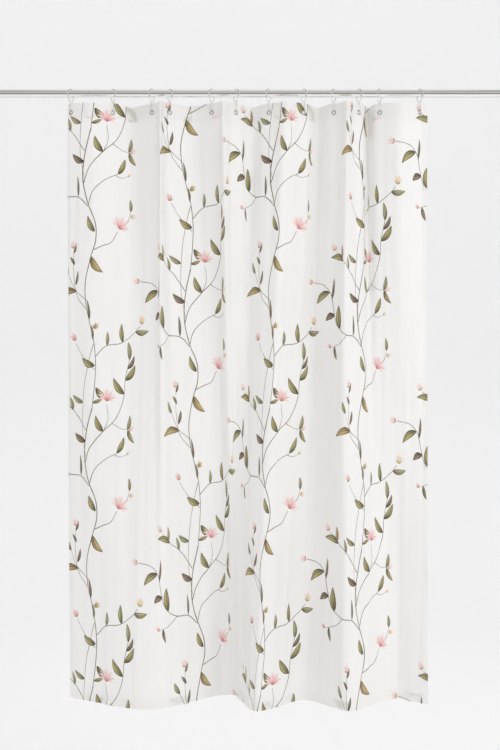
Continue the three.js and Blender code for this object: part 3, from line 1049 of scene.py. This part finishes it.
def grained_material(name, colours, roughness, scale, stretch=(1, 1, 1), bump=0.1, **values):
    """A material with grain: noise between two colours, with roughness and bump from the same noise."""
    n = Nodes(name)
    where = n.add("TexCoord")
    mapping = n.add("Mapping", Scale=stretch)
    n.link(where.outputs["Object"], mapping.inputs["Vector"])
    noise = n.add("TexNoise", Scale=scale, Detail=6.0)
    n.link(mapping.outputs["Vector"], noise.inputs["Vector"])
    ramp = n.add("ValToRGB")
    for element, colour in zip(ramp.color_ramp.elements, colours):
        element.color = (*colour, 1)
    n.link(noise.outputs["Fac"], ramp.inputs["Fac"])
    n.link(ramp.outputs["Color"], n.bsdf.inputs["Base Color"])
    rough = n.add("MapRange", To_Min=roughness[0], To_Max=roughness[1])
    n.link(noise.outputs["Fac"], rough.inputs["Value"])
    n.link(rough.outputs["Result"], n.bsdf.inputs["Roughness"])
    relief = n.add("Bump", Strength=bump, Distance=0.0002)
    n.link(noise.outputs["Fac"], relief.inputs["Height"])
    n.link(relief.outputs["Normal"], n.bsdf.inputs["Normal"])
    n.set(**values)
    return n.material


def give(material, *objects):
    for obj in objects:
        obj.data.materials.clear()
        obj.data.materials.append(material)


# ------------------------------------------------------------------ studio

VIEW_DISTANCE = 4.5
VIEW_HEIGHT = -0.938
VIEW_SPAN = 2.5  # height of the picture at the curtain
SENSOR_HEIGHT = 24
FLOOR = -2.7


def camera():
    """Level with the middle of the curtain, straight in front."""
    data = bpy.data.cameras.new("camera")
    data.sensor_fit = "VERTICAL"
    data.sensor_height = SENSOR_HEIGHT
    data.lens = SENSOR_HEIGHT * VIEW_DISTANCE / VIEW_SPAN
    obj = add_object("camera", data)
    obj.location = (MIDDLE_X, -VIEW_DISTANCE, VIEW_HEIGHT)
    obj.rotation_euler = (math.radians(90), 0, 0)
    bpy.context.scene.camera = obj


SWEEP_FLAT = 5.5  # radius of the flat floor
SWEEP_BEND = 2.0
SWEEP_WALL = 9.0  # height of the backdrop
SWEEP_STEPS = 12
SWEEP_SIDES = 64


def sweep():
    """A pale floor that curves up into a backdrop on every side."""
    profile = [(SWEEP_FLAT, FLOOR)]
    for step in range(1, SWEEP_STEPS + 1):
        a = math.pi / 2 * step / SWEEP_STEPS
        profile.append((SWEEP_FLAT + SWEEP_BEND * math.sin(a), FLOOR + SWEEP_BEND * (1 - math.cos(a))))
    profile.append((SWEEP_FLAT + SWEEP_BEND, FLOOR + SWEEP_WALL))
    mesh = bmesh.new()
    centre = mesh.verts.new((MIDDLE_X, 0, FLOOR))
    rings = [[mesh.verts.new((MIDDLE_X + r * math.cos(a), r * math.sin(a), z)) for a in angles(SWEEP_SIDES)]
             for r, z in profile]
    for k in range(SWEEP_SIDES):
        following = (k + 1) % SWEEP_SIDES
        mesh.faces.new((centre, rings[0][k], rings[0][following]))
        for near, far in zip(rings, rings[1:]):
            mesh.faces.new((near[k], far[k], far[following], near[following]))
    obj = new_piece("studio_sweep", mesh)
    n = Nodes("sweep")
    n.set(Base_Color=(0.93, 0.93, 0.93, 1), Roughness=1.0, Specular_IOR_Level=0.0)
    give(n.material, obj)


# Grey of the studio as the polished pieces see it, by share of the way from floor to ceiling.
REFLECTED = [
    (0.00, 0.96), (0.02, 0.80), (0.04, 0.40), (0.07, 0.22), (0.44, 0.18), (0.50, 0.44), (0.62, 0.59),
    (0.74, 0.56), (0.88, 0.38), (0.94, 0.42), (0.98, 0.90), (1.00, 0.95),
]
DOME_RADIUS = 5.4
DOME_TINT = (1.0, 0.975, 0.955)


def reflection_dome():
    """What the metal mirrors: a round studio with a dark band at eye height. Nothing else sees it."""
    mesh = bmesh.new()
    bmesh.ops.create_uvsphere(mesh, u_segments=48, v_segments=32, radius=DOME_RADIUS)
    bmesh.ops.translate(mesh, vec=(MIDDLE_X, 0, 0), verts=mesh.verts)
    dome = new_piece("reflection_dome", mesh)
    n = Nodes("studio_reflection")
    height = n.add("SeparateXYZ")
    n.link(n.add("TexCoord").outputs["Object"], height.inputs[0])
    share = n.add("MapRange", From_Min=-DOME_RADIUS, From_Max=DOME_RADIUS)
    n.link(height.outputs["Z"], share.inputs["Value"])
    ramp = n.add("ValToRGB")
    elements = ramp.color_ramp.elements
    for place, grey in REFLECTED:
        element = elements[0] if place == 0 else elements[-1] if place == 1 else elements.new(place)
        element.color = (*(grey * tint for tint in DOME_TINT), 1)
    n.link(share.outputs["Result"], ramp.inputs["Fac"])
    light = n.add("Emission")
    n.link(ramp.outputs["Color"], light.inputs["Color"])
    n.link(light.outputs["Emission"], n.output.inputs["Surface"])
    n.material.cycles.emission_sampling = "NONE"
    give(n.material, dome)
    for kind in ("camera", "diffuse", "transmission", "volume_scatter", "shadow"):
        setattr(dome, "visible_" + kind, False)


def area_light(name, place, target, size, power):
    data = bpy.data.lights.new(name, "AREA")
    data.shape = "RECTANGLE"
    data.size, data.size_y = size
    data.energy = power
    obj = add_object(name, data)
    obj.location = place
    obj.rotation_euler = (Vector(target) - Vector(place)).to_track_quat("-Z", "Y").to_euler()


KEY_PLACE, KEY_TARGET = (4.2, -3.6, 0.4), (0.9, 0, -1.0)
KEY_SIZE = (1.6, 2.4)
KEY_POWER = 48
WORLD_STRENGTH = 1.16


def studio():
    """White light from all round, and a soft key light from the right."""
    world = bpy.data.worlds.new("studio")
    bpy.context.scene.world = world
    world.use_nodes = True
    background = world.node_tree.nodes["Background"]
    background.inputs["Color"].default_value = (1.0, 1.0, 1.0, 1)
    background.inputs["Strength"].default_value = WORLD_STRENGTH
    area_light("key", KEY_PLACE, KEY_TARGET, KEY_SIZE, KEY_POWER)
    bpy.context.scene.view_settings.view_transform = "Standard"


# ------------------------------------------------------------------ assembly

def add_curtain():
    panel, hems = make_cloth()
    stitches = make_stitches()
    give(cloth_material("printed_cloth", PANEL_PASSES), panel)
    give(cloth_material("turned_cloth", HEM_PASSES), *hems)
    give(grained_material("sewing_thread", THREAD, (0.6, 0.8), 900), stitches)
    for piece in (panel, *hems, stitches):
        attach(piece, "curtain")
        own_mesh(piece)
    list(hems)


ROD_ENDS = (("left", "outer_tube", "rod"), ("right", "inner_tube", "rod_inner"))  # side, node, body


def add_rod():
    steel = grained_material("brushed_steel", STEEL, (0.08, 0.15), 900, ALONG_GRAIN, 0.05, Metallic=1.0)
    rubber = grained_material("pad_rubber", RUBBER, (0.75, 0.95), 420, bump=0.3)
    plastic = grained_material("cup_plastic", CUP_PLASTIC, (0.35, 0.5), 300, bump=0.06)
    lock = grained_material("lock_plastic", LOCK_PLASTIC, (0.5, 0.7), 300)
    tubes = [tube_piece(node, "rod_" + node) for _, node, _ in ROD_ENDS]
    for tube, (side, node, body) in zip(tubes, ROD_ENDS):
        pad, cup = foot_pieces(side, half_height(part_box(node)))
        give(steel, tube)
        give(rubber, pad)
        give(plastic, cup)
        for piece in (tube, pad, cup):
            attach(piece, body)
    for node in ("lock_core", "lock_cam"):
        give(lock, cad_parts[node])


def add_rings():
    nickel = grained_material("eyelet_nickel", NICKEL, (0.16, 0.26), 500, bump=0.02, Metallic=1.0)
    chrome = grained_material("ring_chrome", CHROME, (0.12, 0.2), 500, bump=0.02, Metallic=0.8)
    for index, number in enumerate(HOOKS):
        ring = ring_piece(index)
        give(chrome, ring)
        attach(ring, "hook_" + number)
        for piece in eyelet_pieces(index):
            give(nickel, piece)
            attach(piece, f"eyelet_{number}_pair")


camera()
add_curtain()
add_rod()
add_rings()
sweep()
reflection_dome()
studio()
